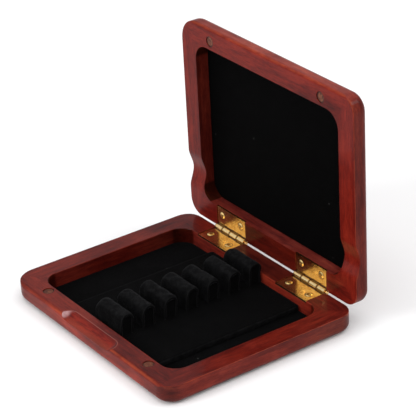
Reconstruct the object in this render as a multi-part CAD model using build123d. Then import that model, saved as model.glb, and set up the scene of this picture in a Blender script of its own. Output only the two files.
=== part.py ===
"""Oboe reed case: a hinged two-tray wooden box with a velvet-covered reed holder.

Millimetres, +Z up.  The origin is the centre of the underside of the base, the
face the case rests on.  X runs along the hinge (width), -Y is the front with the
finger scoop, +Y is the hinge side.  The case is drawn open by 90 degrees: the lid
is built in its closed place and then turned back about the hinge axis.
"""
from build123d import *
import os

# ---------------------------------------------------------------- outer form
W = 110.0            # width, along the hinge
D = 88.0             # depth, front to hinge side
BASE_T = 8.0         # thickness of the base tray
LID_T = 7.0          # thickness of the lid tray
FRONT_R = (9.6, 7.0) # outer corners seen from above, at the free edge: left and right
BACK_R = 6.8         # and at the hinge side
EDGE_R = 3.2         # large round on the underside of the base and top of the lid
BASE_EDGE = 0.3      # small round on the outer edge of the base rim
LID_EDGE = 0.4       # and of the lid rim
BASE_FRONT = 1.6     # larger round along the base's front edge
LID_FRONT = 1.3      # and along the lid's free edge
INNER_R = 0.3        # broken inner edge of each rim
POCKET_R = 7.0       # corners of the two pockets

# rim widths: side, front (free edge) and hinge side
BASE_RIM = (9.1, 8.7, 9.8)
LID_RIM = (9.3, 9.0, 9.2)
BASE_FLOOR = 1.3     # wood left under the base pocket
LID_ROOF = 0.85      # wood left behind the lid pocket
LINING_T = 0.6       # velvet on its backing

# ---------------------------------------------------------------- hinge line
AXIS_Y = D / 2 + 0.2         # pin stands just behind the back face
AXIS_Z = BASE_T + 0.15       # and in the middle of the seam
SEAM = 0.3                   # seam between the closed rims
OPEN_ANGLE = 90.0

HINGE_X = (-26.5, 26.5)      # centres of the two butt hinges
HINGE_NAMES = ("left", "right")
HINGE_L = 19.6
LEAF_T = 0.8
LEAF_SUNK = 0.3              # leaves lie a little below the rims
KNUCKLES = 4
KNUCKLE_GAP = 0.35
BARREL_R = 1.3
PIN_R = 0.5
RUN_CLEAR = 0.04             # between the pin and the knuckles that turn on it
SWING_CLEAR = 0.2            # leaf edge to the other leaf's knuckles
PIN_HEAD_R = 0.75
PIN_HEAD_T = 0.9
SCREW_DX = 6.3               # screws each side of the hinge centre
SCREW_Y = 38.3
SCREW_HEAD_R = 1.5
SCREW_SHANK_R = 0.7
SCREW_L = 4.8
SCREW_DOME = 0.38

# ---------------------------------------------------------------- closures
MAGNET_X = 35.4
MAGNET_Y = -38.5
MAGNET_R = 2.25
MAGNET_T = 2.0
MAGNET_SUNK = 0.25

# ---------------------------------------------------------------- finger scoop
SCOOP_R = 5.3
SCOOP_HALF = 13.4
SCOOP_Y = -43.2
SCOOP_Z = 11.2

# shallow dips across the side rims of the lid, near the hinge
DIP_Y = 24.0
DIP_L = 17.0
DIP_H = 2.0

# ---------------------------------------------------------------- reed holder
PLATE_X = (-26.0, 32.5)
PLATE_Y = (-34.1, 34.1)
PLATE_TOP = 4.4
CLOTH_T = 0.5
FINS = 7
FIN_PITCH = 10.15
FIN_MID_Y = 0.5
FIN_X = (-10.3, 7.8)
FIN_T = 6.0
FIN_TOP = 13.5
FIN_CLOTH = 0.8
FIN_END_R = 1.5

lining_top = BASE_FLOOR + LINING_T
lid_z0 = BASE_T + SEAM               # lid rim, closed
lid_z1 = lid_z0 + LID_T              # lid outer face, closed
hinge_axis = Axis((0, AXIS_Y, AXIS_Z), (1, 0, 0))

parts = {}


def slab(x0, x1, y0, y1, z0, z1):
    """Box between two corners."""
    return Pos((x0 + x1) / 2, (y0 + y1) / 2, (z0 + z1) / 2) * Box(x1 - x0, y1 - y0, z1 - z0)


def rounded_slab(x0, x1, y0, y1, z0, z1, r):
    """Plate with round corners seen from above."""
    sk = Pos((x0 + x1) / 2, (y0 + y1) / 2, z0) * RectangleRounded(x1 - x0, y1 - y0, r)
    return extrude(sk, z1 - z0)


def x_rod(x0, x1, r, y=AXIS_Y, z=AXIS_Z):
    """Cylinder along X."""
    return Pos((x0 + x1) / 2, y, z) * Rot(0, 90, 0) * Cylinder(r, x1 - x0)


def plan():
    """Outline seen from above: tighter corners at the hinge side."""
    sk = Rectangle(W, D)
    for i, r in enumerate(FRONT_R):
        corner = sk.vertices().group_by(Axis.Y)[0].sort_by(Axis.X)[-i]
        sk = fillet(corner, r)
    return fillet(sk.vertices().group_by(Axis.Y)[-1], BACK_R)


def front_round(r, z, up):
    """What a round-over of radius r takes off the front edge at height z."""
    zc = z - up * r
    lo, hi = sorted((zc, z + up))
    return slab(-W, W, -D / 2 - 1, -D / 2 + r, lo, hi) - x_rod(-W, W, r, -D / 2 + r, zc)


def open_lid(shape):
    """Turn a shape from its closed place to the open pose."""
    return shape.rotate(hinge_axis, -OPEN_ANGLE)


def pocket_limits(rim):
    side, front, back = rim
    return (-W / 2 + side, W / 2 - side, -D / 2 + front, D / 2 - back)


# ---------------------------------------------------------------- screw
def screw_profile():
    """Raised countersunk wood screw, head up, leaf face at z = 0."""
    with BuildPart() as b:
        with BuildSketch(Plane.XZ):
            with BuildLine():
                l1 = Line((0, SCREW_DOME), (0, -SCREW_L))
                Line((0, -SCREW_L), (SCREW_SHANK_R, -SCREW_L + 1.1))
                Line((SCREW_SHANK_R, -SCREW_L + 1.1), (SCREW_SHANK_R, -LEAF_T))
                Line((SCREW_SHANK_R, -LEAF_T), (SCREW_HEAD_R, 0))
                ThreePointArc((SCREW_HEAD_R, 0), (SCREW_HEAD_R * 0.52, SCREW_DOME * 0.74), (0, SCREW_DOME))
            make_face()
        revolve(axis=Axis.Z)
    s = b.part
    for a in (0, 90):
        s = s - Rot(0, 0, 35 + a) * Pos(0, 0, SCREW_DOME) * Box(1.9, 0.42, 0.9)
    return s


def screw_hole():
    """Countersunk hole for one screw, through the leaf and into the wood."""
    cone = Pos(0, 0, -LEAF_T / 2) * Cone(SCREW_SHANK_R, SCREW_HEAD_R, LEAF_T)
    shank = Pos(0, 0, -(SCREW_L + LEAF_T) / 2) * Cylinder(SCREW_SHANK_R, SCREW_L - LEAF_T)
    return cone, shank


# ---------------------------------------------------------------- base tray
def base_tray():
    body = extrude(plan(), BASE_T)
    body = fillet(body.edges().group_by(Axis.Z)[0], EDGE_R)
    body = fillet(body.faces().sort_by(Axis.Z)[-1].edges(), BASE_EDGE)
    body = body - front_round(BASE_FRONT, BASE_T, 1)
    x0, x1, y0, y1 = pocket_limits(BASE_RIM)
    body = body - rounded_slab(x0, x1, y0, y1, BASE_FLOOR, BASE_T + 5, POCKET_R)
    top = body.faces().filter_by(Axis.Z).sort_by(Axis.Z)[-1]
    body = fillet(top.inner_wires()[0].edges(), INNER_R)
    # finger scoop: a round-nosed trough along the front edge
    scoop = x_rod(-SCOOP_HALF, SCOOP_HALF, SCOOP_R, SCOOP_Y, SCOOP_Z)
    for s in (-1, 1):
        scoop = scoop + Pos(s * SCOOP_HALF, SCOOP_Y, SCOOP_Z) * Sphere(SCOOP_R)
    body = body - scoop
    for s in (-1, 1):
        depth = MAGNET_T + MAGNET_SUNK
        body = body - Pos(s * MAGNET_X, MAGNET_Y, BASE_T - depth / 2 + 0.5) * Cylinder(MAGNET_R + 0.05, depth + 1)
    for hx in HINGE_X:
        body = body - slab(hx - HINGE_L / 2 - 0.05, hx + HINGE_L / 2 + 0.05, y1 - 1, D / 2 + 5, BASE_T - LEAF_SUNK - LEAF_T, BASE_T + 3)
        body = body - x_rod(hx - HINGE_L / 2 - 0.25, hx + HINGE_L / 2 + 0.25, BARREL_R + 0.25)
        body = body - x_rod(hx + HINGE_L / 2, hx + HINGE_L / 2 + PIN_HEAD_T + 0.5, PIN_HEAD_R + 0.25)
        for s in (-1, 1):
            body = body - Pos(hx + s * SCREW_DX, SCREW_Y, BASE_T - LEAF_SUNK) * screw_hole()[1]
    return body


# ---------------------------------------------------------------- lid tray
def lid_tray():
    """Lid in its closed place, rim down."""
    body = Pos(0, 0, lid_z0) * extrude(plan(), LID_T)
    body = fillet(body.edges().group_by(Axis.Z)[-1], EDGE_R)
    # the dips: smooth shallow valleys across both side rims
    a, b, z = DIP_Y - DIP_L / 2, DIP_Y + DIP_L / 2, lid_z0
    with BuildPart() as dip:
        with BuildSketch(Plane.YZ):
            with BuildLine():
                Spline((a, z), (DIP_Y, z + DIP_H), (b, z),
                       tangents=[(1, 0), (1, 0)], tangent_scalars=[0.9, 0.9])
                Polyline((b, z), (b, z - 3), (a, z - 3), (a, z))
            make_face()
        extrude(amount=W, both=True)
    body = body - dip.part
    x0, x1, y0, y1 = pocket_limits(LID_RIM)
    outer = [e for e in body.edges()
             if e.bounding_box().min.Z >= lid_z0 - 0.01 and e.bounding_box().max.Z <= lid_z0 + DIP_H + 0.01
             and (abs(e.center().X) > W / 2 - FRONT_R[0] - 0.01 or abs(e.center().Y) > D / 2 - 0.01)
             and not (abs(abs(e.center().X) - 0) < 0.01 and abs(e.center().Y) < D / 2 - 0.01)
             and e.length > 0.5 and abs(e.bounding_box().max.X - e.bounding_box().min.X) < W - 2 * BACK_R + 0.01]
    body = fillet(outer, LID_EDGE)
    body = body - front_round(LID_FRONT, lid_z0, -1)
    body = body - rounded_slab(x0, x1, y0, y1, lid_z0 - 5, lid_z1 - LID_ROOF, POCKET_R)
    for s in (-1, 1):
        depth = MAGNET_T + MAGNET_SUNK
        body = body - Pos(s * MAGNET_X, MAGNET_Y, lid_z0 + depth / 2 - 0.5) * Cylinder(MAGNET_R + 0.05, depth + 1)
    for hx in HINGE_X:
        body = body - slab(hx - HINGE_L / 2 - 0.05, hx + HINGE_L / 2 + 0.05, y1 - 1, D / 2 + 5, lid_z0 - 3, lid_z0 + LEAF_SUNK + LEAF_T)
        body = body - x_rod(hx - HINGE_L / 2 - 0.25, hx + HINGE_L / 2 + 0.25, BARREL_R + 0.25)
        body = body - x_rod(hx + HINGE_L / 2, hx + HINGE_L / 2 + PIN_HEAD_T + 0.5, PIN_HEAD_R + 0.25)
        for s in (-1, 1):
            body = body - Pos(hx + s * SCREW_DX, SCREW_Y, lid_z0 + LEAF_SUNK) * Rot(180, 0, 0) * screw_hole()[1]
    return body


# ---------------------------------------------------------------- hinges
def knuckle_spans(hx):
    step = (HINGE_L + KNUCKLE_GAP) / KNUCKLES
    x = hx - HINGE_L / 2
    return [(x + i * step, x + i * step + step - KNUCKLE_GAP) for i in range(KNUCKLES)]


def leaf(hx, edge_y, z0, z1, own, bore):
    """One hinge leaf: a flat plate let into the rim, with its own knuckles."""
    plate = slab(hx - HINGE_L / 2, hx + HINGE_L / 2, edge_y, AXIS_Y, z0, z1)
    spans = knuckle_spans(hx)
    for i, (a, b) in enumerate(spans):
        if i in own:
            plate = plate + x_rod(a, b, BARREL_R)
    for i, (a, b) in enumerate(spans):
        if i not in own:
            lo = a - KNUCKLE_GAP if i else a - 1
            hi = b + KNUCKLE_GAP if i < KNUCKLES - 1 else b + 1
            plate = plate - slab(lo, hi, AXIS_Y - BARREL_R - SWING_CLEAR, AXIS_Y + 3, z0 - 3, z1 + 3)
    plate = plate - x_rod(hx - HINGE_L, hx + HINGE_L, bore)
    return plate


base_y1 = pocket_limits(BASE_RIM)[3]
lid_y1 = pocket_limits(LID_RIM)[3]
screw = screw_profile()

parts["base_shell"] = base_tray()
lid_closed = lid_tray()
parts["lid_shell"] = open_lid(lid_closed)

for name, hx in zip(HINGE_NAMES, HINGE_X):
    cone = screw_hole()[0]
    base_face, lid_face = BASE_T - LEAF_SUNK, lid_z0 + LEAF_SUNK
    base_leaf = leaf(hx, base_y1 + 0.1, base_face - LEAF_T, base_face, (1, 3), PIN_R)
    lid_leaf = leaf(hx, lid_y1 + 0.1, lid_face, lid_face + LEAF_T, (0, 2), PIN_R + RUN_CLEAR)
    base_screws, lid_screws = [], []
    for s in (-1, 1):
        low = Pos(hx + s * SCREW_DX, SCREW_Y, base_face)
        high = Pos(hx + s * SCREW_DX, SCREW_Y, lid_face) * Rot(180, 0, 0)
        base_leaf = base_leaf - low * cone
        lid_leaf = lid_leaf - high * cone
        base_screws.append(low * screw)
        lid_screws.append(open_lid(high * screw))
    parts[f"{name}_hinge_base_leaf"] = base_leaf
    parts[f"{name}_hinge_lid_leaf"] = open_lid(lid_leaf)
    parts[f"{name}_hinge_base_screws"] = Compound(children=base_screws)
    parts[f"{name}_hinge_lid_screws"] = Compound(children=lid_screws)
    pin = x_rod(hx - HINGE_L / 2, hx + HINGE_L / 2, PIN_R)
    head = x_rod(hx + HINGE_L / 2, hx + HINGE_L / 2 + PIN_HEAD_T, PIN_HEAD_R)
    head = fillet(head.edges().sort_by(Axis.X)[-1], 0.3)
    parts[f"{name}_hinge_pin"] = pin + head

# ---------------------------------------------------------------- magnets
for name, s in zip(HINGE_NAMES, (-1, 1)):
    disc = Cylinder(MAGNET_R, MAGNET_T)
    disc = chamfer(disc.edges().group_by(Axis.Z)[-1], 0.15)
    disc = chamfer(disc.edges().group_by(Axis.Z)[0], 0.15)
    parts[f"{name}_base_magnet"] = Pos(s * MAGNET_X, MAGNET_Y, BASE_T - MAGNET_SUNK - MAGNET_T / 2) * disc
    parts[f"{name}_lid_magnet"] = open_lid(Pos(s * MAGNET_X, MAGNET_Y, lid_z0 + MAGNET_SUNK + MAGNET_T / 2) * disc)

# ---------------------------------------------------------------- linings
gap = 0.2
x0, x1, y0, y1 = pocket_limits(BASE_RIM)
parts["base_lining"] = rounded_slab(x0 + gap, x1 - gap, y0 + gap, y1 - gap, BASE_FLOOR, lining_top, POCKET_R - gap)
x0, x1, y0, y1 = pocket_limits(LID_RIM)
parts["lid_lining"] = open_lid(rounded_slab(x0 + gap, x1 - gap, y0 + gap, y1 - gap,
                                            lid_z1 - LID_ROOF - LINING_T, lid_z1 - LID_ROOF, POCKET_R - gap))

# ---------------------------------------------------------------- reed holder
board = slab(PLATE_X[0] + CLOTH_T, PLATE_X[1] - CLOTH_T, PLATE_Y[0] + CLOTH_T, PLATE_Y[1] - CLOTH_T,
             lining_top, PLATE_TOP - CLOTH_T)
cover = rounded_slab(PLATE_X[0], PLATE_X[1], PLATE_Y[0], PLATE_Y[1], lining_top, PLATE_TOP, 1.2)
cover = fillet(cover.edges().group_by(Axis.Z)[-1], 0.8)
parts["holder_board"] = board
parts["holder_board_cover"] = cover - board


def fin_form(x0, x1, t, top, end_r):
    """Upright strip with a full-round top and eased ends."""
    with BuildPart() as b:
        with BuildSketch(Plane.YZ.offset(x0)):
            with BuildLine():
                Line((-t / 2, PLATE_TOP), (t / 2, PLATE_TOP))
                Line((t / 2, PLATE_TOP), (t / 2, top - t / 2))
                ThreePointArc((t / 2, top - t / 2), (0, top), (-t / 2, top - t / 2))
                Line((-t / 2, top - t / 2), (-t / 2, PLATE_TOP))
            make_face()
        extrude(amount=x1 - x0)
    f = b.part
    if end_r:
        ends = [e for e in f.edges()
                if (abs(e.center().X - x0) < 0.01 or abs(e.center().X - x1) < 0.01)
                and e.bounding_box().max.Z > PLATE_TOP + 0.01]
        f = fillet(ends, end_r)
    return f


outer = fin_form(FIN_X[0], FIN_X[1], FIN_T, FIN_TOP, FIN_END_R)
inner = fin_form(FIN_X[0] + FIN_CLOTH, FIN_X[1] - FIN_CLOTH, FIN_T - 2 * FIN_CLOTH, FIN_TOP - FIN_CLOTH, 0.7)
for i in range(FINS):
    y = FIN_MID_Y + (i - (FINS - 1) / 2) * FIN_PITCH
    parts[f"fin_{i + 1}_core"] = Pos(0, y, 0) * inner
    parts[f"fin_{i + 1}_cover"] = Pos(0, y, 0) * (outer - inner)

# ---------------------------------------------------------------- write
os.makedirs("parts", exist_ok=True)
for name, shape in parts.items():
    export_step(shape, f"parts/{name}.step")
print(len(parts), "nodes")
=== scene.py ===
import math

import bpy
from mathutils import Matrix, Vector, noise


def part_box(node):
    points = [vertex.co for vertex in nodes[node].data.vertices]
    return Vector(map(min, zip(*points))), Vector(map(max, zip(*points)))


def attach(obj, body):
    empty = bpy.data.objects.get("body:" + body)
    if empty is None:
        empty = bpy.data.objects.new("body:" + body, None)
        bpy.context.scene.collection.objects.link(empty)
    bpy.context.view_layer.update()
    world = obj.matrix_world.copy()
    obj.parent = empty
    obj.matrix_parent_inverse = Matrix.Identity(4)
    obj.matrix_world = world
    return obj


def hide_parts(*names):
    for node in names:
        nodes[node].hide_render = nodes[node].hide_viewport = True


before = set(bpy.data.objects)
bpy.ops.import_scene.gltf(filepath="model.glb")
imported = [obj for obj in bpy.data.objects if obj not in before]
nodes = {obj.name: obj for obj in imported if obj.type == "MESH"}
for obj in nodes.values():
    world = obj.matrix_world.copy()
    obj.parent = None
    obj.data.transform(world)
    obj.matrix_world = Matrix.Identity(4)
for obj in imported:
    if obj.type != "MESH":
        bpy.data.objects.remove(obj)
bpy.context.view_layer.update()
scene = bpy.context.scene
MM = 0.001


# ---------------------------------------------------------------- node helpers
class Graph:
    """A small helper that adds shader nodes and links them."""

    def __init__(self, name, world=False):
        if world:
            self.owner = bpy.data.worlds.new(name)
        else:
            self.owner = bpy.data.materials.new(name)
        self.owner.use_nodes = True
        self.tree = self.owner.node_tree
        self.tree.nodes.clear()
        self.count = 0

    def add(self, kind, inputs=None, **props):
        n = self.tree.nodes.new(kind)
        n.location = (200 * (self.count % 12), -260 * (self.count // 12))
        self.count += 1
        for k, v in props.items():
            setattr(n, k, v)
        for k, v in (inputs or {}).items():
            self.put(n.inputs[k], v)
        return n

    def put(self, socket, value):
        if isinstance(value, bpy.types.NodeSocket):
            self.tree.links.new(value, socket)
        elif value is not None:
            socket.default_value = value

    def math(self, op, a, b=None, c=None, clamp=False):
        n = self.add("ShaderNodeMath", operation=op, use_clamp=clamp)
        self.put(n.inputs[0], a)
        if b is not None:
            self.put(n.inputs[1], b)
        if c is not None:
            self.put(n.inputs[2], c)
        return n.outputs[0]

    def ramp(self, fac, stops, interpolation="LINEAR"):
        n = self.add("ShaderNodeValToRGB")
        n.color_ramp.interpolation = interpolation
        els = n.color_ramp.elements
        while len(els) < len(stops):
            els.new(0.5)
        for e, (p, c) in zip(els, stops):
            e.position = p
            e.color = (*c, 1) if len(c) == 3 else c
        self.put(n.inputs[0], fac)
        return n.outputs[0]

    def smooth(self, value, lo, hi, to_lo=0.0, to_hi=1.0):
        n = self.add("ShaderNodeMapRange", interpolation_type="SMOOTHSTEP")
        self.put(n.inputs["Value"], value)
        n.inputs["From Min"].default_value = lo
        n.inputs["From Max"].default_value = hi
        n.inputs["To Min"].default_value = to_lo
        n.inputs["To Max"].default_value = to_hi
        return n.outputs["Result"]

    def mix(self, fac, a, b, blend="MIX"):
        n = self.add("ShaderNodeMix", data_type="RGBA", blend_type=blend)
        self.put(n.inputs[0], fac)
        self.put(n.inputs[6], a if not isinstance(a, tuple) else (*a, 1)[:4])
        self.put(n.inputs[7], b if not isinstance(b, tuple) else (*b, 1)[:4])
        return n.outputs[2]

    def mixv(self, fac, a, b):
        n = self.add("ShaderNodeMix", data_type="VECTOR")
        self.put(n.inputs[0], fac)
        self.put(n.inputs[4], a)
        self.put(n.inputs[5], b)
        return n.outputs[1]

    def noise(self, vector, scale, detail=4.0, rough=0.55, distort=0.0):
        n = self.add("ShaderNodeTexNoise", noise_dimensions="3D")
        self.put(n.inputs["Vector"], vector)
        n.inputs["Scale"].default_value = scale
        n.inputs["Detail"].default_value = detail
        n.inputs["Roughness"].default_value = rough
        n.inputs["Distortion"].default_value = distort
        return n.outputs["Fac"]

    def xyz(self, vector):
        n = self.add("ShaderNodeSeparateXYZ")
        self.put(n.inputs[0], vector)
        return n.outputs

    def vec(self, x, y, z):
        n = self.add("ShaderNodeCombineXYZ")
        for s, v in zip(n.inputs, (x, y, z)):
            self.put(s, v)
        return n.outputs[0]

    def bump(self, height, strength, distance, normal=None):
        n = self.add("ShaderNodeBump")
        self.put(n.inputs["Height"], height)
        n.inputs["Strength"].default_value = strength
        n.inputs["Distance"].default_value = distance
        if normal is not None:
            self.put(n.inputs["Normal"], normal)
        return n.outputs[0]

    def surface(self, **sockets):
        p = self.add("ShaderNodeBsdfPrincipled")
        for k, v in sockets.items():
            key = k.replace("_", " ")
            self.put(p.inputs[key], v)
        out = self.add("ShaderNodeOutputMaterial")
        self.tree.links.new(p.outputs[0], out.inputs[0])
        return p


# ---------------------------------------------------------------- materials
def wood(name, lid):
    """Red-stained close-grained hardwood under clear lacquer. The streaks run along each rim."""
    g = Graph(name)
    tc = g.add("ShaderNodeTexCoord")
    p = g.add("ShaderNodeVectorMath", operation="SCALE")
    g.put(p.inputs[0], tc.outputs["Object"])
    p.inputs["Scale"].default_value = 1000.0
    x, y, z = g.xyz(p.outputs[0])
    if lid:  # the lid stands open: its depth runs up, its thickness runs back
        depth = g.math("SUBTRACT", 52.35, z)
        thick = g.math("SUBTRACT", y, 36.05)
    else:
        depth, thick = y, z
    ax, ad = g.math("ABSOLUTE", x), g.math("ABSOLUTE", depth)
    wob = g.noise(g.vec(x, depth, thick), 0.09, 2)
    wob = g.math("MULTIPLY", g.math("SUBTRACT", wob, 0.5), 9.0)
    side = g.math("SUBTRACT", g.math("SUBTRACT", ax, 55.0), g.math("SUBTRACT", ad, 44.0))
    side = g.math("ADD", side, wob)
    on_side = g.smooth(side, -1.6, 1.6)
    on_rail = g.smooth(ax, 43.5, 45.2)
    turned = g.math("MULTIPLY", on_side, on_rail)
    # the closed outer faces are one board, so the grain runs straight through
    onx, ony, onz = g.xyz(tc.outputs["Normal"])
    plain = g.smooth(ony, 0.15, 0.80, 1.0, 0.0) if lid else g.smooth(onz, -0.80, -0.15)
    turned = g.math("MULTIPLY", turned, plain)
    # grain space: first axis along the grain
    gx = g.vec(g.math("MULTIPLY", x, 0.13), depth, g.math("MULTIPLY", thick, 1.15))
    gy = g.vec(g.math("MULTIPLY", g.math("ADD", depth, 37.0 if lid else 91.0), 0.13), x, g.math("MULTIPLY", thick, 1.15))
    off = g.add("ShaderNodeVectorMath", operation="ADD")
    g.put(off.inputs[0], gy)
    off.inputs[1].default_value = (31.7, 12.3, 5.1) if lid else (11.7, 42.3, 9.1)
    off2 = g.add("ShaderNodeVectorMath", operation="ADD")
    g.put(off2.inputs[0], gx)
    off2.inputs[1].default_value = (3.7, 71.3, 2.1) if lid else (1.7, 22.9, 19.1)

    def both(scale, detail, rough, distort=0.0):
        a = g.noise(off2.outputs[0], scale, detail, rough, distort)
        b = g.noise(off.outputs[0], scale, detail, rough, distort)
        n = g.add("ShaderNodeMix", data_type="FLOAT")
        g.put(n.inputs[0], turned)
        g.put(n.inputs[2], a)
        g.put(n.inputs[3], b)
        return n.outputs[0]

    broad = both(0.16, 3, 0.5, 0.3)
    band = both(0.55, 5, 0.6, 0.5)
    fine = both(2.6, 3, 0.6)
    pores = both(7.5, 2, 0.5)
    blotch = g.noise(p.outputs[0], 0.055, 3, 0.55, 0.4)

    tone = g.math("MULTIPLY_ADD", g.math("SUBTRACT", band, 0.5), 0.95, 0.52)
    tone = g.math("MULTIPLY_ADD", g.math("SUBTRACT", broad, 0.5), 0.9, tone)
    tone = g.math("MULTIPLY_ADD", g.math("SUBTRACT", fine, 0.5), 0.75, tone)
    tone = g.math("MULTIPLY_ADD", g.math("SUBTRACT", pores, 0.5), 0.45, tone, clamp=True)
    colour = g.ramp(
        tone,
        [
            (0.0, (0.034, 0.0042, 0.0034)),
            (0.26, (0.072, 0.0072, 0.0050)),
            (0.5, (0.125, 0.0120, 0.0074)),
            (0.74, (0.178, 0.0190, 0.0100)),
            (1.0, (0.250, 0.0330, 0.0150)),
        ],
    )
    # stain that took unevenly
    colour = g.mix(g.smooth(blotch, 0.36, 0.68), colour, (0.70, 0.52, 0.50), "MULTIPLY")
    # dark vessel lines
    line = g.smooth(band, 0.60, 0.70)
    line2 = g.smooth(fine, 0.55, 0.72)
    dark = g.math("MULTIPLY", line, line2)
    colour = g.mix(g.math("MULTIPLY", dark, 0.80), colour, (0.026, 0.0040, 0.0036))
    # short dark flecks and cloudy figure
    fleck = g.math("MULTIPLY", g.smooth(both(1.5, 2, 0.5), 0.58, 0.70), g.smooth(blotch, 0.42, 0.62))
    colour = g.mix(g.math("MULTIPLY", fleck, 0.55), colour, (0.045, 0.0060, 0.0050))
    pore = g.smooth(pores, 0.64, 0.74)
    colour = g.mix(g.math("MULTIPLY", pore, 0.45), colour, (0.040, 0.0050, 0.0042))
    nx, ny, nz = g.xyz(tc.outputs["Normal"])
    # painted light and shade: each face direction gets its own colour multiplier for how the lamps fall on it (the
    # lid's rim, free, end and hinge-side faces; the base's front, top, end and hinge-side faces); the lid's outer face
    # is made a little lighter
    if lid:
        rim_face = g.smooth(g.math("MULTIPLY", ny, -1.0), 0.75, 0.98)
        colour = g.mix(rim_face, colour, (1.14, 0.80, 0.74), "MULTIPLY")
        outer_face = g.smooth(ny, 0.5, 0.9)
        colour = g.mix(outer_face, colour, (1.15, 1.10, 1.05), "MULTIPLY")
        # painted reflection: the lid's upward free face is made much paler and pinker
        free_face = g.smooth(nz, 0.70, 0.95)
        colour = g.mix(free_face, colour, (1.35, 2.10, 2.60), "MULTIPLY")
        side_face = g.smooth(g.math("ABSOLUTE", nx), 0.60, 0.92)
        colour = g.mix(side_face, colour, (0.86, 1.02, 1.05), "MULTIPLY")
        # painted shade on the rim beside the hinge
        hinge_rim = g.math("MULTIPLY", rim_face, g.math("MULTIPLY", g.smooth(depth, 33.5, 35.5), g.smooth(ax, 22.0, 40.0, 1.0, 0.0)))
        colour = g.mix(hinge_rim, colour, (0.64, 0.74, 0.66), "MULTIPLY")
    else:
        # painted light: the base's front face is made much lighter
        front_face = g.smooth(g.math("MULTIPLY", ny, -1.0), 0.55, 0.92)
        colour = g.mix(front_face, colour, (1.75, 1.85, 1.75), "MULTIPLY")
        top_face = g.smooth(nz, 0.9, 0.99)
        colour = g.mix(top_face, colour, (0.96, 0.90, 0.90), "MULTIPLY")
        end_face = g.smooth(g.math("ABSOLUTE", nx), 0.6, 0.95)
        colour = g.mix(end_face, colour, (1.10, 1.18, 1.20), "MULTIPLY")
        # painted shade on the base's end faces, growing towards the back
        colour = g.mix(g.math("MULTIPLY", end_face, g.smooth(depth, 4.0, 38.0)), colour, (0.66, 0.88, 0.88), "MULTIPLY")
        # painted shade on the rim beside the hinge
        hinge_rim = g.math("MULTIPLY", top_face, g.math("MULTIPLY", g.smooth(depth, 33.5, 35.5), g.smooth(ax, 18.0, 34.0, 1.0, 0.0)))
        colour = g.mix(hinge_rim, colour, (0.62, 0.78, 0.80), "MULTIPLY")
        # painted shade towards the left of the front face and round the front-right corner
        left_front = g.math("MULTIPLY", front_face, g.smooth(x, -30.0, -17.0, 1.0, 0.0))
        colour = g.mix(left_front, colour, (0.66, 0.72, 0.86), "MULTIPLY")
        zone = g.math("MULTIPLY", g.smooth(x, 43.0, 51.0), g.smooth(depth, -41.5, -35.0, 1.0, 0.0))
        corner = g.math("MULTIPLY", zone, g.smooth(g.math("ABSOLUTE", nz), 0.25, 0.75, 1.0, 0.0))
        colour = g.mix(corner, colour, (0.52, 0.62, 0.72), "MULTIPLY")
    # lighter, more orange colour along the rounded outer edge of the rims: partly thinner, rubbed stain, partly a
    # painted highlight; it is held back at the front-right corner and towards the left
    top = g.math("MAXIMUM", g.math("MAXIMUM", g.math("ABSOLUTE", nx), g.math("ABSOLUTE", ny)), g.math("ABSOLUTE", nz))
    edge = g.smooth(g.math("SUBTRACT", 1.0, top), 0.03, 0.22)
    near = g.smooth(thick, 8.9, 9.9, 1.0, 0.0) if lid else g.smooth(thick, 6.2, 7.1)
    rub = g.noise(p.outputs[0], 0.22, 4, 0.6)
    edge = g.math("MULTIPLY", g.math("MULTIPLY", edge, near), g.smooth(rub, 0.34, 0.58, 0.25, 1.0))
    if not lid:
        edge = g.math("MULTIPLY", edge, g.math("MULTIPLY_ADD", zone, -0.75, 1.0))
        edge = g.math("MULTIPLY", edge, g.smooth(x, -32.0, -17.0, 0.30, 1.0))
    colour = g.mix(g.math("MULTIPLY", edge, 0.34 if lid else 0.46), colour, (0.38, 0.062, 0.021))
    if not lid:
        # finger scoop: distance from the trough's axis
        reach = g.math("MAXIMUM", g.math("SUBTRACT", ax, 13.4), 0.0)
        dy = g.math("ADD", depth, 43.2)
        dz = g.math("SUBTRACT", thick, 11.2)
        far = g.math("SQRT", g.math("ADD", g.math("ADD", g.math("MULTIPLY", reach, reach), g.math("MULTIPLY", dy, dy)), g.math("MULTIPLY", dz, dz)))
        trough = g.smooth(far, 5.31, 5.36, 1.0, 0.0)
        low = g.smooth(thick, 5.85, 6.7, 1.0, 0.0)
        streak = g.ramp(tone, [(0.22, (0.026, 0.0028, 0.0024)), (0.48, (0.098, 0.0066, 0.0048)), (0.78, (0.215, 0.016, 0.0085))])
        streak = g.mix(g.math("MULTIPLY", low, 0.35), streak, (0.36, 0.050, 0.022))
        colour = g.mix(g.math("MULTIPLY", trough, 0.92), colour, streak)
        # painted highlight: a pale line along the scoop's upper lip
        lip = g.math("MULTIPLY", g.smooth(far, 5.36, 5.42), g.smooth(far, 5.55, 5.80, 1.0, 0.0))
        lip = g.math("MULTIPLY", lip, g.smooth(nz, 0.90, 0.98))
        colour = g.mix(g.math("MULTIPLY", lip, 0.38), colour, (0.33, 0.12, 0.095))
        # painted shade on the upper wall of the trough
        wall = g.math("MULTIPLY", trough, g.smooth(thick, 6.2, 7.8))
        colour = g.mix(g.math("MULTIPLY", wall, 0.45), colour, (0.075, 0.0055, 0.0045))
        # painted shade on the trough's right end
        right_end = g.math("MULTIPLY", trough, g.smooth(x, 14.2, 16.6))
        colour = g.mix(g.math("MULTIPLY", right_end, 0.70), colour, (0.030, 0.0045, 0.0040))
        left_end = g.math("MULTIPLY", trough, g.smooth(x, -16.9, -15.2, 1.0, 0.0))
        glint = g.math("MULTIPLY", left_end, g.smooth(g.noise(p.outputs[0], 0.5, 2, 0.5), 0.30, 0.60, 0.55, 1.0))
        colour = g.mix(g.math("MULTIPLY", glint, 0.70), colour, (0.55, 0.33, 0.33))
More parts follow.
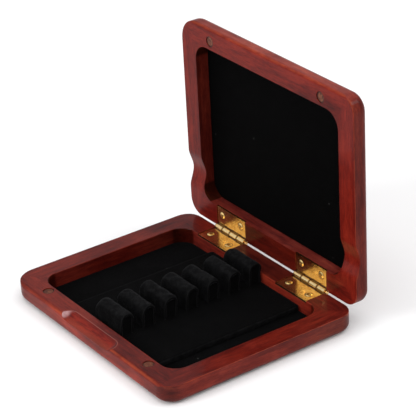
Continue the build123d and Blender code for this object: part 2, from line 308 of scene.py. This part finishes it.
    # painted shade: the pocket walls are darkened and browned, standing in for the shade inside the routed pocket
    inside_x = g.smooth(ax, 45.75, 45.95, 1.0, 0.0) if not lid else g.smooth(ax, 45.55, 45.75, 1.0, 0.0)
    lo, hi = (-34.75, 34.6) if lid else (-35.3, 34.2)
    inside_lo = g.smooth(depth, lo - 0.02, lo + 0.12)
    inside_hi = g.smooth(depth, hi - 0.12, hi + 0.02, 1.0, 0.0)
    above = g.smooth(thick, 14.55, 14.65, 1.0, 0.0) if lid else g.smooth(thick, 1.25, 1.35)
    pocket = g.math("MULTIPLY", g.math("MULTIPLY", inside_x, inside_lo), g.math("MULTIPLY", inside_hi, above))
    pocket = g.math("MULTIPLY", pocket, g.math("SUBTRACT", 1.0, rim_face if lid else top_face))
    colour = g.mix(g.math("MULTIPLY", pocket, 0.90), colour, (0.16, 0.26, 0.14) if lid else (0.27, 0.27, 0.17), "MULTIPLY")

    rough = g.math("MULTIPLY_ADD", fine, 0.16, 0.30)
    height = g.math("MULTIPLY_ADD", g.math("SUBTRACT", 1.0, pore), 0.6, g.math("MULTIPLY", fine, 0.5))
    wave = g.noise(p.outputs[0], 0.22, 2, 0.5)
    n1 = g.bump(height, 0.16, 0.00006)
    n2 = g.bump(wave, 0.18, 0.00045)
    g.surface(
        Base_Color=colour,
        Roughness=rough,
        IOR=1.45,
        Specular_IOR_Level=0.05,
        Coat_Weight=0.13 if lid else 0.19,
        Coat_Roughness=0.12,
        Coat_IOR=1.48,
        Normal=n1,
        Coat_Normal=n2,
    )
    return g.owner


def velvet(name, lint=True, seed=0.0, painted_level=1.0, sheen=0.06, ridge=False, rim=False):
    """Short-pile black velvet: very dark, with nap that leans in soft patches."""
    g = Graph(name)
    tc = g.add("ShaderNodeTexCoord")
    p = g.add("ShaderNodeVectorMath", operation="SCALE")
    g.put(p.inputs[0], tc.outputs["Object"])
    p.inputs["Scale"].default_value = 1000.0
    q = g.add("ShaderNodeVectorMath", operation="ADD")
    g.put(q.inputs[0], p.outputs[0])
    q.inputs[1].default_value = (seed, seed * 1.7, seed * 0.6)
    nap = g.noise(q.outputs[0], 0.09, 3, 0.55, 0.8)
    pile = g.noise(q.outputs[0], 3.4, 3, 0.7)
    tuft = g.add("ShaderNodeTexVoronoi", feature="F1")
    g.put(tuft.inputs["Vector"], q.outputs[0])
    tuft.inputs["Scale"].default_value = 4.5
    # painted light and shade: the brightness argument darkens or lightens the same velvet for each piece
    colour = g.ramp(
        g.math("MULTIPLY_ADD", nap, 0.7, g.math("MULTIPLY", pile, 0.3)),
        [
            (0.25, (0.0016 * painted_level, 0.0016 * painted_level, 0.0017 * painted_level)),
            (0.55, (0.0030 * painted_level, 0.0030 * painted_level, 0.0032 * painted_level)),
            (0.85, (0.0060 * painted_level, 0.0060 * painted_level, 0.0062 * painted_level)),
        ],
    )
    if lint:
        speck = g.add("ShaderNodeTexVoronoi", feature="F1")
        g.put(speck.inputs["Vector"], q.outputs[0])
        speck.inputs["Scale"].default_value = 0.20
        dot = g.smooth(speck.outputs["Distance"], 0.04, 0.09, 1.0, 0.0)
        patchy = g.smooth(g.noise(q.outputs[0], 0.030, 1, 0.5), 0.52, 0.60)
        colour = g.mix(g.math("MULTIPLY", g.math("MULTIPLY", dot, patchy), 0.06), colour, (0.5, 0.49, 0.47))
    if ridge:
        # painted light and shade on the fins: paler along each crown where light falls, a painted sheen round the open
        # ends, painted shade on the flanks
        fx, fy, fz = g.xyz(p.outputs[0])
        fnx, fny, fnz = g.xyz(tc.outputs["Normal"])
        crown = g.math("MULTIPLY", g.smooth(fnz, 0.20, 0.85), g.smooth(fz, 10.2, 12.2))
        mott = g.smooth(g.noise(q.outputs[0], 0.55, 3, 0.6, 0.6), 0.40, 0.62, 0.15, 1.0)
        colour = g.mix(g.math("MULTIPLY", g.math("MULTIPLY", crown, mott), 0.44), colour, (0.0125, 0.0125, 0.0130))
        flank = g.smooth(g.math("ABSOLUTE", fny), 0.75, 0.97)
        patch = g.smooth(g.noise(q.outputs[0], 0.20, 3, 0.55, 0.5), 0.44, 0.60, 1.0, 0.10)
        colour = g.mix(g.math("MULTIPLY", g.math("MULTIPLY", flank, patch), 0.62), colour, (0.0012, 0.0012, 0.0013))
        hem = g.math("MULTIPLY", g.smooth(g.math("ABSOLUTE", g.math("ADD", fx, 1.25)), 8.45, 8.90), g.smooth(fnx, 0.97, 0.80))
        colour = g.mix(g.math("MULTIPLY", hem, 0.50), colour, (0.0130, 0.0130, 0.0135))
    if rim:
        # painted light: the velvet over the board's rounded edges and sides is made paler, in soft patches
        rnx, rny, rnz = g.xyz(tc.outputs["Normal"])
        turn = g.smooth(g.math("MAXIMUM", g.math("ABSOLUTE", rnx), g.math("ABSOLUTE", rny)), 0.25, 0.80)
        light_patch = g.smooth(g.noise(q.outputs[0], 0.45, 3, 0.6, 0.5), 0.36, 0.66, 0.35, 1.0)
        colour = g.mix(g.math("MULTIPLY", g.math("MULTIPLY", turn, light_patch), 0.60), colour, (0.0110, 0.0110, 0.0115))
    rough = g.math("MULTIPLY_ADD", pile, 0.12, 0.84)
    height = g.math("MULTIPLY_ADD", tuft.outputs["Distance"], 0.8, g.math("MULTIPLY", pile, 0.9))
    n1 = g.bump(height, 0.55, 0.00018)
    p_ = g.surface(
        Base_Color=colour,
        Roughness=rough,
        Specular_IOR_Level=0.03,
        Sheen_Weight=sheen,
        Sheen_Roughness=0.35,
        Normal=n1,
    )
    p_.inputs["Sheen Tint"].default_value = (0.9, 0.9, 0.95, 1)
    return g.owner


def brass(name, kind, tint=(0.97, 0.66, 0.26), dull=0.0, scale=1.0):
    """Bright plated brass with fine handling scratches and darker spots; painted shade in the creases, joints and screw
    recesses and painted highlights on edges and knuckles. kind is base_leaf, lid_leaf, pin, base_screw or lid_screw.
    """
    g = Graph(name)
    tc = g.add("ShaderNodeTexCoord")
    p = g.add("ShaderNodeVectorMath", operation="SCALE")
    g.put(p.inputs[0], tc.outputs["Object"])
    p.inputs["Scale"].default_value = 1000.0
    x, y, z = g.xyz(p.outputs[0])
    cloud = g.noise(p.outputs[0], 0.5 * scale, 4, 0.6, 0.5)
    scratch = g.noise(g.vec(g.math("MULTIPLY", x, 0.4), g.math("MULTIPLY", y, 7.0), g.math("MULTIPLY", z, 7.0)), 1.3, 3, 0.65)
    spot = g.noise(p.outputs[0], 2.4 * scale, 3, 0.6)
    light = tuple(c for c in tint)
    darker = (tint[0] * 0.74, tint[1] * 0.62, tint[2] * 0.50)
    colour = g.ramp(cloud, [(0.3, darker), (0.5, light), (0.75, (min(tint[0] * 1.05, 1), min(tint[1] * 1.10, 1), tint[2] * 1.25))])
    colour = g.mix(g.smooth(spot, 0.58, 0.75, 0.0, 0.35), colour, (0.45, 0.24, 0.07))
    dark = (0.070, 0.026, 0.010)
    # across: distance from the front of the base leaf, or from the free edge of the lid leaf, as if the case were shut
    across = g.math("SUBTRACT", 52.35, z) if kind.startswith("lid") else y
    dx = g.math("SUBTRACT", g.math("ABSOLUTE", g.math("SUBTRACT", g.math("ABSOLUTE", x), 26.5)), 6.3)
    dy = g.math("SUBTRACT", across, 38.3)
    far = g.math("SQRT", g.math("ADD", g.math("MULTIPLY", dx, dx), g.math("MULTIPLY", dy, dy)))
    if kind.endswith("leaf"):
        # painted shade in a ring round each screw head
        ring = g.smooth(far, 1.60, 1.80, 1.0, 0.0)
        colour = g.mix(g.math("MULTIPLY", ring, 0.85), colour, dark)
        # painted highlight: a bright line along the free edge
        edge_highlight = g.smooth(across, 34.70, 35.05, 1.0, 0.0) if kind == "lid_leaf" else g.smooth(across, 34.45, 34.85, 1.0, 0.0)
        colour = g.mix(g.math("MULTIPLY", edge_highlight, 0.75), colour, (1.0, 0.80, 0.45))
        # painted shade along the crease between leaf and knuckles
        crease = g.math("MULTIPLY", g.smooth(across, 42.05, 42.45), g.smooth(across, 42.85, 43.05, 1.0, 0.0))
        colour = g.mix(g.math("MULTIPLY", crease, 0.88), colour, dark)
        # knuckles: a painted highlight along the crown, painted shade at the ends between knuckles
        knuckle = g.smooth(across, 42.90, 43.05)
        step = g.math("DIVIDE", g.math("ADD", g.math("SUBTRACT", g.math("ABSOLUTE", x), 26.5), 9.8), 4.9875)
        frac = g.math("FRACT", g.math("ADD", step, 10.0))
        ends = g.math("MAXIMUM", g.smooth(frac, 0.03, 0.10, 1.0, 0.0), g.smooth(frac, 0.84, 0.90))
        crown = g.math("MULTIPLY", knuckle, g.math("SUBTRACT", 1.0, ends))
        colour = g.mix(g.math("MULTIPLY", crown, 0.55), colour, (1.0, 0.78, 0.42))
        colour = g.mix(g.math("MULTIPLY", g.math("MULTIPLY", knuckle, ends), 0.60), colour, (0.30, 0.13, 0.04))
    if kind.endswith("screw"):
        # painted shade round the edge of each screw head and in its cross recess
        rim = g.smooth(far, 1.32, 1.50)
        colour = g.mix(g.math("MULTIPLY", rim, 0.60), colour, dark)
        cross_a = g.math("ADD", g.math("MULTIPLY", dx, 0.819), g.math("MULTIPLY", dy, 0.574))
        cross_b = g.math("SUBTRACT", g.math("MULTIPLY", dy, 0.819), g.math("MULTIPLY", dx, 0.574))
        slot = g.math("MINIMUM", g.math("ABSOLUTE", cross_a), g.math("ABSOLUTE", cross_b))
        inside = g.math("MULTIPLY", g.smooth(slot, 0.18, 0.30, 1.0, 0.0), g.smooth(far, 0.85, 1.0, 1.0, 0.0))
        colour = g.mix(g.math("MULTIPLY", inside, 0.80), colour, (0.16, 0.06, 0.02))
    rough = g.math("MULTIPLY_ADD", scratch, 0.16, 0.10 + dull)
    n1 = g.bump(scratch, 0.12, 0.00004)
    n2 = g.bump(cloud, 0.35, 0.0002, n1)
    g.surface(
        Base_Color=colour,
        Metallic=1.0,
        Roughness=rough,
        Normal=n2,
    )
    return g.owner


def disc(name, lid):
    """Plated magnet disc under a reddish-brown lacquer film, dark round its rim."""
    g = Graph(name)
    tc = g.add("ShaderNodeTexCoord")
    p = g.add("ShaderNodeVectorMath", operation="SCALE")
    g.put(p.inputs[0], tc.outputs["Object"])
    p.inputs["Scale"].default_value = 1000.0
    cloud = g.noise(p.outputs[0], 0.8, 4, 0.6, 0.6)
    fine = g.noise(p.outputs[0], 6.0, 2, 0.6)
    colour = g.ramp(cloud, [(0.34, (0.042, 0.009, 0.005)), (0.48, (0.100, 0.026, 0.012)), (0.62, (0.165, 0.056, 0.026))])
    x, y, z = g.xyz(p.outputs[0])
    dx = g.math("SUBTRACT", g.math("ABSOLUTE", x), 35.4)
    dy = g.math("SUBTRACT", 90.85, z) if lid else g.math("ADD", y, 38.5)
    far = g.math("SQRT", g.math("ADD", g.math("MULTIPLY", dx, dx), g.math("MULTIPLY", dy, dy)))
    wob = g.noise(p.outputs[0], 0.9, 2, 0.5)
    ring = g.smooth(g.math("MULTIPLY_ADD", g.math("SUBTRACT", wob, 0.5), 0.7, far), 1.50, 1.95)
    colour = g.mix(g.math("MULTIPLY", ring, 0.85), colour, (0.022, 0.006, 0.004))
    rough = g.math("MULTIPLY_ADD", fine, 0.25, 0.34)
    g.surface(
        Base_Color=colour,
        Metallic=0.10,
        Roughness=rough,
        Specular_IOR_Level=0.10,
        Coat_Weight=0.08,
        Coat_Roughness=0.15,
        Normal=g.bump(fine, 0.15, 0.00005),
    )
    return g.owner


def bare_board(name):
    """Sanded light board, hidden under the velvet."""
    g = Graph(name)
    tc = g.add("ShaderNodeTexCoord")
    p = g.add("ShaderNodeVectorMath", operation="SCALE")
    g.put(p.inputs[0], tc.outputs["Object"])
    p.inputs["Scale"].default_value = 1000.0
    x, y, z = g.xyz(p.outputs[0])
    grain = g.noise(g.vec(g.math("MULTIPLY", x, 0.08), y, z), 0.9, 5, 0.6, 0.4)
    colour = g.ramp(grain, [(0.3, (0.26, 0.17, 0.10)), (0.7, (0.46, 0.34, 0.21))])
    g.surface(Base_Color=colour, Roughness=g.math("MULTIPLY_ADD", grain, 0.2, 0.55), Normal=g.bump(grain, 0.2, 0.0001))
    return g.owner


def floor_material():
    g = Graph("studio_floor")
    tc = g.add("ShaderNodeTexCoord")
    n = g.noise(tc.outputs["Object"], 3.0, 3, 0.5)
    colour = g.ramp(n, [(0.3, (0.880, 0.880, 0.880)), (0.7, (0.900, 0.900, 0.900))])
    g.surface(Base_Color=colour, Roughness=0.85, Specular_IOR_Level=0.1)
    return g.owner


WOOD_BASE = wood("red_wood_base", False)
WOOD_LID = wood("red_wood_lid", True)
# painted light and shade: the fourth argument sets how dark each piece of the same velvet is, from 0.22 on the lid
# lining to 0.9 on the fins
VELVET_BASE = velvet("velvet_base", True, 3.0, 0.50, 0.020)
VELVET_LID = velvet("velvet_lid", True, 83.0, 0.22, 0.006)
VELVET_BOARD = velvet("velvet_board", False, 31.0, 0.45, 0.018, False, True)
VELVET_FIN = velvet("velvet_fins", False, 19.0, 0.9, 0.040, True)
BRASS_LEAF = brass("brass_base_leaf", "base_leaf")
BRASS_LEAF_LID = brass("brass_lid_leaf", "lid_leaf")
BRASS_PIN = brass("brass_pin", "pin", (0.86, 0.55, 0.22), 0.03, 1.6)
BRASS_SCREW = brass("brass_base_screw", "base_screw", (1.0, 0.71, 0.28), 0.16, 1.8)
BRASS_SCREW_LID = brass("brass_lid_screw", "lid_screw", (1.0, 0.71, 0.28), 0.16, 1.8)
DISC = disc("magnet_disc_base", False)
DISC_LID = disc("magnet_disc_lid", True)
BOARD = bare_board("bare_board")


def paint(obj, material):
    obj.data.materials.clear()
    obj.data.materials.append(material)


for name, obj in nodes.items():
    if name == "base_shell":
        paint(obj, WOOD_BASE)
    elif name == "lid_shell":
        paint(obj, WOOD_LID)
    elif name == "lid_lining":
        paint(obj, VELVET_LID)
    elif name == "base_lining":
        paint(obj, VELVET_BASE)
    elif name.endswith("_core") or name == "holder_board":
        paint(obj, BOARD)
    elif name.endswith("_cover"):
        paint(obj, VELVET_FIN)
    elif name.endswith("_lid_leaf"):
        paint(obj, BRASS_LEAF_LID)
    elif name.endswith("_leaf"):
        paint(obj, BRASS_LEAF)
    elif name.endswith("_pin"):
        paint(obj, BRASS_PIN)
    elif name.endswith("_lid_screws"):
        paint(obj, BRASS_SCREW_LID)
    elif name.endswith("_screws"):
        paint(obj, BRASS_SCREW)
    elif name.endswith("_lid_magnet"):
        paint(obj, DISC_LID)
    elif name.endswith("_magnet"):
        paint(obj, DISC)


# ---------------------------------------------------------------- mesh helpers
def make(name, verts, faces, material, scale=MM, place=None):
    """verts in mm. place turns a local point into the row frame."""
    pts = [Vector(v) * scale for v in verts]
    if place is not None:
        pts = [place(p) for p in pts]
    me = bpy.data.meshes.new(name)
    me.from_pydata([tuple(p) for p in pts], [], faces)
    me.validate()
    me.update()
    for poly in me.polygons:
        poly.use_smooth = True
    ob = bpy.data.objects.new(name, me)
    scene.collection.objects.link(ob)
    me.materials.append(material)
    return ob


def wave(x, y, s, seed):
    return noise.noise(Vector((x * s + seed, y * s - seed * 0.7, seed * 1.3)))


def ring_points(hx, hy, r, inset, per_x, per_y, per_c):
    """Points round a rounded rectangle inset by inset, always the same count, counter-clockwise from the lower left side's start."""
    r2 = max(r - inset, 0.0)
    ax, ay = hx - inset - r2, hy - inset - r2
    out = []
    corners = [(ax, -ay, -90), (ax, ay, 0), (-ax, ay, 90), (-ax, -ay, 180)]
    starts = [(-ax, -hy + inset), (hx - inset, -ay), (ax, hy - inset), (-hx + inset, ay)]
    ends = [(ax, -hy + inset), (hx - inset, ay), (-ax, hy - inset), (-hx + inset, -ay)]
    for k in range(4):
        n = per_x if k % 2 == 0 else per_y
        for i in range(n):
            t = i / n
            out.append((starts[k][0] + (ends[k][0] - starts[k][0]) * t, starts[k][1] + (ends[k][1] - starts[k][1]) * t))
        cx, cy, a0 = corners[k]
        for i in range(per_c):
            a = math.radians(a0 + 90 * i / per_c)
            out.append((cx + r2 * math.cos(a), cy + r2 * math.sin(a)))
    return out


def sheet_mesh(hx, hy, r, bottom, profile, height, per_x=34, per_y=26, per_c=8):
    """A laid sheet: rings from the rim inwards, then a grid. profile is [(inset, z)], height(x, y, z) gives the final z. The bottom is flat at z bottom."""
    verts, faces = [], []
    rings = []

    def put(points, z, lift=True):
        ids = []
        for x, y in points:
            ids.append(len(verts))
            verts.append((x, y, height(x, y, z) if lift else z))
        rings.append(ids)
        return ids

    def join(a, b):
        n = len(a)
        for i in range(n):
            j = (i + 1) % n
            faces.append((a[i], a[j], b[j], b[i]))

    first = put(ring_points(hx, hy, r, 0.12, per_x, per_y, per_c), bottom, False)
    last = first
    for inset, z in profile:
        now = put(ring_points(hx, hy, r, inset, per_x, per_y, per_c), z)
        join(last, now)
        last = now
    # the inner rectangle, whose sides have per_x and per_y steps; its corners stand for whole corner arcs
    inset = r
    ax, ay = hx - inset, hy - inset
    ztop = profile[-1][1]
    grid = {}
    for i in range(per_x + 1):
        for j in range(per_y + 1):
            x, y = -ax + 2 * ax * i / per_x, -ay + 2 * ay * j / per_y
            grid[i, j] = len(verts)
            verts.append((x, y, height(x, y, ztop)))
    for i in range(per_x):
        for j in range(per_y):
            faces.append((grid[i, j], grid[i + 1, j], grid[i + 1, j + 1], grid[i, j + 1]))
    k = 0
    total = len(last)

    def at(n):
        return last[n % total]

    edges = [
        [grid[i, 0] for i in range(per_x + 1)],
        [grid[per_x, j] for j in range(per_y + 1)],
        [grid[per_x - i, per_y] for i in range(per_x + 1)],
        [grid[0, per_y - j] for j in range(per_y + 1)],
    ]
    for e in edges:
        n = len(e) - 1
        for i in range(n):
            faces.append((at(k + i), at(k + i + 1), e[i + 1], e[i]))
        k += n
        for i in range(per_c):
            faces.append((at(k + i), at(k + i + 1), e[-1]))
        k += per_c
    faces.append(tuple(reversed(first)))
    return verts, faces


# ---------------------------------------------------------------- linings
def lining_base():
    lo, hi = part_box("base_lining")
    cx, cy = (lo.x + hi.x) / 2 / MM, (lo.y + hi.y) / 2 / MM
    hx, hy = (hi.x - lo.x) / 2 / MM, (hi.y - lo.y) / 2 / MM
    z0, z1 = lo.z / MM, hi.z / MM

    def height(x, y, z):
        soft = min(1.0, max(0.0, (min(hx - abs(x), hy - abs(y))) / 3.0))
        return z - 0.05 * soft * (0.5 + 0.5 * wave(x, y, 0.09, 4.1)) - 0.02 * soft * (0.5 + 0.5 * wave(x, y, 0.5, 9.3))

    prof = [(0.0, z0 + 0.12), (0.0, z1 - 0.30), (0.10, z1 - 0.14), (0.28, z1 - 0.04), (0.6, z1), (1.4, z1), (3.2, z1), (5.2, z1)]
    v, f = sheet_mesh(hx, hy, 6.9, z0, prof, height)
    ob = make("base_velvet", v, f, VELVET_BASE, place=lambda p: p + Vector((cx * MM, cy * MM, 0)))
    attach(ob, "base")
    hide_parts("base_lining")
    return ob


def lining_lid():
    lo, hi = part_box("lid_lining")
    cx, cz = (lo.x + hi.x) / 2 / MM, (lo.z + hi.z) / 2 / MM
    hx, hz = (hi.x - lo.x) / 2 / MM, (hi.z - lo.z) / 2 / MM
    back, front = hi.y / MM, lo.y / MM  # the velvet faces the camera side, at the lower y
    t = back - front

    def height(x, y, z):
        soft = min(1.0, max(0.0, (min(hx - abs(x), hz - abs(y))) / 3.0))
        return z - 0.05 * soft * (0.5 + 0.5 * wave(x, y, 0.08, 14.7)) - 0.02 * soft * (0.5 + 0.5 * wave(x, y, 0.45, 2.9))

    prof = [(0.0, 0.12), (0.0, t - 0.30), (0.10, t - 0.14), (0.28, t - 0.04), (0.6, t), (1.4, t), (3.2, t), (5.2, t)]
    v, f = sheet_mesh(hx, hz, 6.9, 0.0, prof, height)

    # local x, y, z (away from the board) -> row frame x, z, -y
    def place(p):
        return Vector((p.x + cx * MM, back * MM - p.z, cz * MM + p.y))

    ob = make("lid_velvet", v, f, VELVET_LID, place=place)
    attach(ob, "lid")
    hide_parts("lid_lining")
    return ob


def board_cover():
    lo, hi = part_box("holder_board_cover")
    cx, cy = (lo.x + hi.x) / 2 / MM, (lo.y + hi.y) / 2 / MM
    hx, hy = (hi.x - lo.x) / 2 / MM, (hi.y - lo.y) / 2 / MM
    z0, z1 = lo.z / MM, hi.z / MM

    def height(x, y, z):
        soft = min(1.0, max(0.0, (min(hx - abs(x), hy - abs(y))) / 4.0))
        return z - 0.06 * soft * (0.5 + 0.5 * wave(x, y, 0.12, 21.3)) - 0.02 * soft * (0.5 + 0.5 * wave(x, y, 0.6, 31.3))

    prof = [(0.05, z0 + 0.25), (0.0, z0 + 0.9), (0.02, z1 - 0.85), (0.14, z1 - 0.42), (0.40, z1 - 0.14), (0.80, z1 - 0.02), (1.3, z1)]
    v, f = sheet_mesh(hx, hy, 1.6, z0, prof, height, 40, 44, 6)
    ob = make("holder_board_velvet", v, f, VELVET_BOARD, place=lambda p: p + Vector((cx * MM, cy * MM, 0)))
    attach(ob, "base")
    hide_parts("holder_board_cover", "holder_board")
    return ob


def fin(k):
    """One velvet-wrapped strip: full-round ridge, open ends where the folded edge stands proud as an arch."""
    lo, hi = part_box(f"fin_{k}_cover")
    x0, x1 = lo.x / MM, hi.x / MM
    yc, w = (lo.y + hi.y) / 2 / MM, (hi.y - lo.y) / 2 / MM
    z0, z1 = lo.z / MM, hi.z / MM
    S = 52
    straight = z1 - w - z0
    arc = math.pi * w
    total = 2 * straight + arc
    lean = (0.85 if k < 7 else 0.45) + 0.20 * math.sin(2.1 * k + 0.6)
    left_r, right_r = 2.6 + 0.5 * math.sin(1.7 * k), 1.1 + 0.35 * math.cos(2.3 * k)

    def drop(x):
        """How far the ridge falls at the ends, seen from the side."""
        d = 0.0
        if x - x0 < left_r:
            d = left_r - math.sqrt(max(left_r ** 2 - (left_r - (x - x0)) ** 2, 0.0))
        elif x1 - x < right_r:
            d = right_r - math.sqrt(max(right_r ** 2 - (right_r - (x1 - x)) ** 2, 0.0))
        return min(d, 1.7)

    def section(x, inset, flat=False):
        """Points of the inverted U at x, drawn in by inset from the full outline."""
        pts = []
        d0 = drop(x)
        for i in range(S + 1):
            s = total * i / S
            if s < straight:
                y, z, ny, nz = -w, z0 + s, -1.0, 0.0
            elif s > straight + arc:
                y, z, ny, nz = w, z0 + (total - s), 1.0, 0.0
            else:
                a = math.pi - (s - straight) / w
                ny, nz = math.cos(a), math.sin(a)
                y, z = w * ny, z1 - w + w * nz
            n = noise.noise(Vector((x * 0.30 + 13.1 * k, y * 0.45, z * 0.30 - 3.7 * k)))
            m = noise.noise(Vector((x * 1.05 + 3.1 * k, y * 1.0 + 8.0, z * 1.05 - 1.9 * k)))
            d = -inset + 0.26 * n + 0.12 * m - 0.06
            if z1 - z < 0.8:
                d = min(d, -inset)
            up = (z - z0) / (z1 - z0)
            zz = z + nz * d
            zz = z0 + (zz - z0) * (1 - d0 / (z1 - z0) * min(1.0, up * 1.4))
            pts.append((x, yc + y + ny * d + lean * max(up, 0.0) ** 1.3, max(z0, zz)))
        return pts

    stations = [0.0, 0.08, 0.2, 0.36, 0.6, 1.0, 1.5, 2.1, 2.8]
    insets = [0.30, 0.14, 0.05, 0.0, 0.0, 0.0, 0.0, 0.0, 0.0]
    mids = 18
    plan = [(x0 + s, i) for s, i in zip(stations, insets)]
    plan += [(x0 + 2.8 + (x1 - x0 - 5.6) * i / mids, 0.0) for i in range(1, mids)]
    plan += [(x1 - s, i) for s, i in reversed(list(zip(stations, insets)))]
    # the folded edge, then the end panel set back inside it
    first = [section(x0 + d, i) for d, i in ((0.03, 0.52), (0.14, 0.78), (0.34, 0.96), (0.62, 1.02), (0.70, 1.20), (0.72, 1.6))]
    lastr = [section(x1 - d, i) for d, i in ((0.03, 0.52), (0.14, 0.78), (0.34, 0.96), (0.62, 1.02), (0.70, 1.20), (0.72, 1.6))]
    rows = list(reversed(first)) + [section(x, i) for x, i in plan] + lastr
    verts, faces, ids = [], [], []
    for r in rows:
        ids.append([len(verts) + i for i in range(S + 1)])
        verts.extend(r)
    for a, b in zip(ids, ids[1:]):
        for i in range(S):
            faces.append((a[i], b[i], b[i + 1], a[i + 1]))
    # end panels: pair up the two legs of the arch
    for row, flip in ((ids[0], False), (ids[-1], True)):
        for i in range(S // 2):
            q = (row[i], row[i + 1], row[S - i - 1], row[S - i]) if i + 1 != S - i - 1 else (row[i], row[i + 1], row[S - i])
            faces.append(tuple(reversed(q)) if flip else q)
    # underside
    foot = [r[0] for r in ids] + [r[S] for r in reversed(ids)]
    faces.append(tuple(foot))
    ob = make(f"fin_{k}_velvet", verts, faces, VELVET_FIN)
    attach(ob, "base")
    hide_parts(f"fin_{k}_cover", f"fin_{k}_core")
    return ob


lining_base()
lining_lid()
board_cover()
for k in range(1, 8):
    fin(k)

# ---------------------------------------------------------------- stage, light, camera
me = bpy.data.meshes.new("studio_floor_mesh")
n = 24
half = 4.0
me.from_pydata(
    [(-half + 2 * half * i / n, -half + 2 * half * j / n, -0.0002) for i in range(n + 1) for j in range(n + 1)],
    [],
    [(i * (n + 1) + j, (i + 1) * (n + 1) + j, (i + 1) * (n + 1) + j + 1, i * (n + 1) + j + 1) for i in range(n) for j in range(n)],
)
floor = bpy.data.objects.new("studio_floor", me)
scene.collection.objects.link(floor)
me.materials.append(floor_material())

w = Graph("studio_world", world=True)
tc = w.add("ShaderNodeTexCoord")
wx, wy, wz = w.xyz(tc.outputs["Generated"])
sky = w.ramp(w.smooth(wz, -0.1, 0.9), [(0.0, (0.92, 0.92, 0.93)), (0.5, (0.84, 0.84, 0.85)), (1.0, (0.80, 0.80, 0.81))])
bg = w.add("ShaderNodeBackground")
w.put(bg.inputs["Color"], sky)
bg.inputs["Strength"].default_value = 0.84
wo = w.add("ShaderNodeOutputWorld")
w.tree.links.new(bg.outputs[0], wo.inputs[0])
scene.world = w.owner


def softbox(name, place, aim, size, power, colour=(1, 1, 1), size_y=None):
    d = bpy.data.lights.new(name, "AREA")
    d.shape = "RECTANGLE"
    d.size = size
    d.size_y = size_y or size
    d.energy = power
    d.color = colour
    o = bpy.data.objects.new(name, d)
    scene.collection.objects.link(o)
    o.location = place
    o.rotation_mode = "QUATERNION"
    o.rotation_quaternion = (Vector(aim) - Vector(place)).to_track_quat("-Z", "Y")
    o.visible_camera = False
    return o


softbox("key", (-0.25, -1.45, 0.85), (0, 0, 0.03), 0.6, 10.5)
softbox("top", (0.15, 0.0, 1.35), (0, 0, 0.03), 1.3, 8.0)
softbox("back_right", (0.75, 0.85, 1.15), (0, 0, 0.03), 0.45, 3.0)
softbox("right", (1.30, -0.55, 0.75), (0, 0, 0.03), 0.35, 2.5)

scene.view_settings.view_transform = "Standard"
scene.view_settings.look = "None"
scene.view_settings.exposure = 0.0
scene.view_settings.gamma = 1.0

az, el, roll = math.radians(56.002), math.radians(27.2996), math.radians(-3.0887)
back = Vector((math.sin(az) * math.cos(el), -math.cos(az) * math.cos(el), math.sin(el)))
fwd = -back
right = fwd.cross(Vector((0, 0, 1))).normalized()
up = right.cross(fwd)
r2 = math.cos(roll) * right + math.sin(roll) * up
u2 = -math.sin(roll) * right + math.cos(roll) * up
cam = bpy.data.cameras.new("camera")
cam.sensor_fit = "HORIZONTAL"
cam.sensor_width = 36.0
cam.lens = 175.835
cam.shift_x, cam.shift_y = -0.0014, 0.0
cam.clip_start, cam.clip_end = 0.01, 50.0
camera = bpy.data.objects.new("camera", cam)
scene.collection.objects.link(camera)
camera.matrix_world = Matrix(
    (
        (r2.x, u2.x, -fwd.x, 0.58008),
        (r2.y, u2.y, -fwd.y, -0.37544),
        (r2.z, u2.z, -fwd.z, 0.40148),
        (0, 0, 0, 1),
    )
)
scene.camera = camera
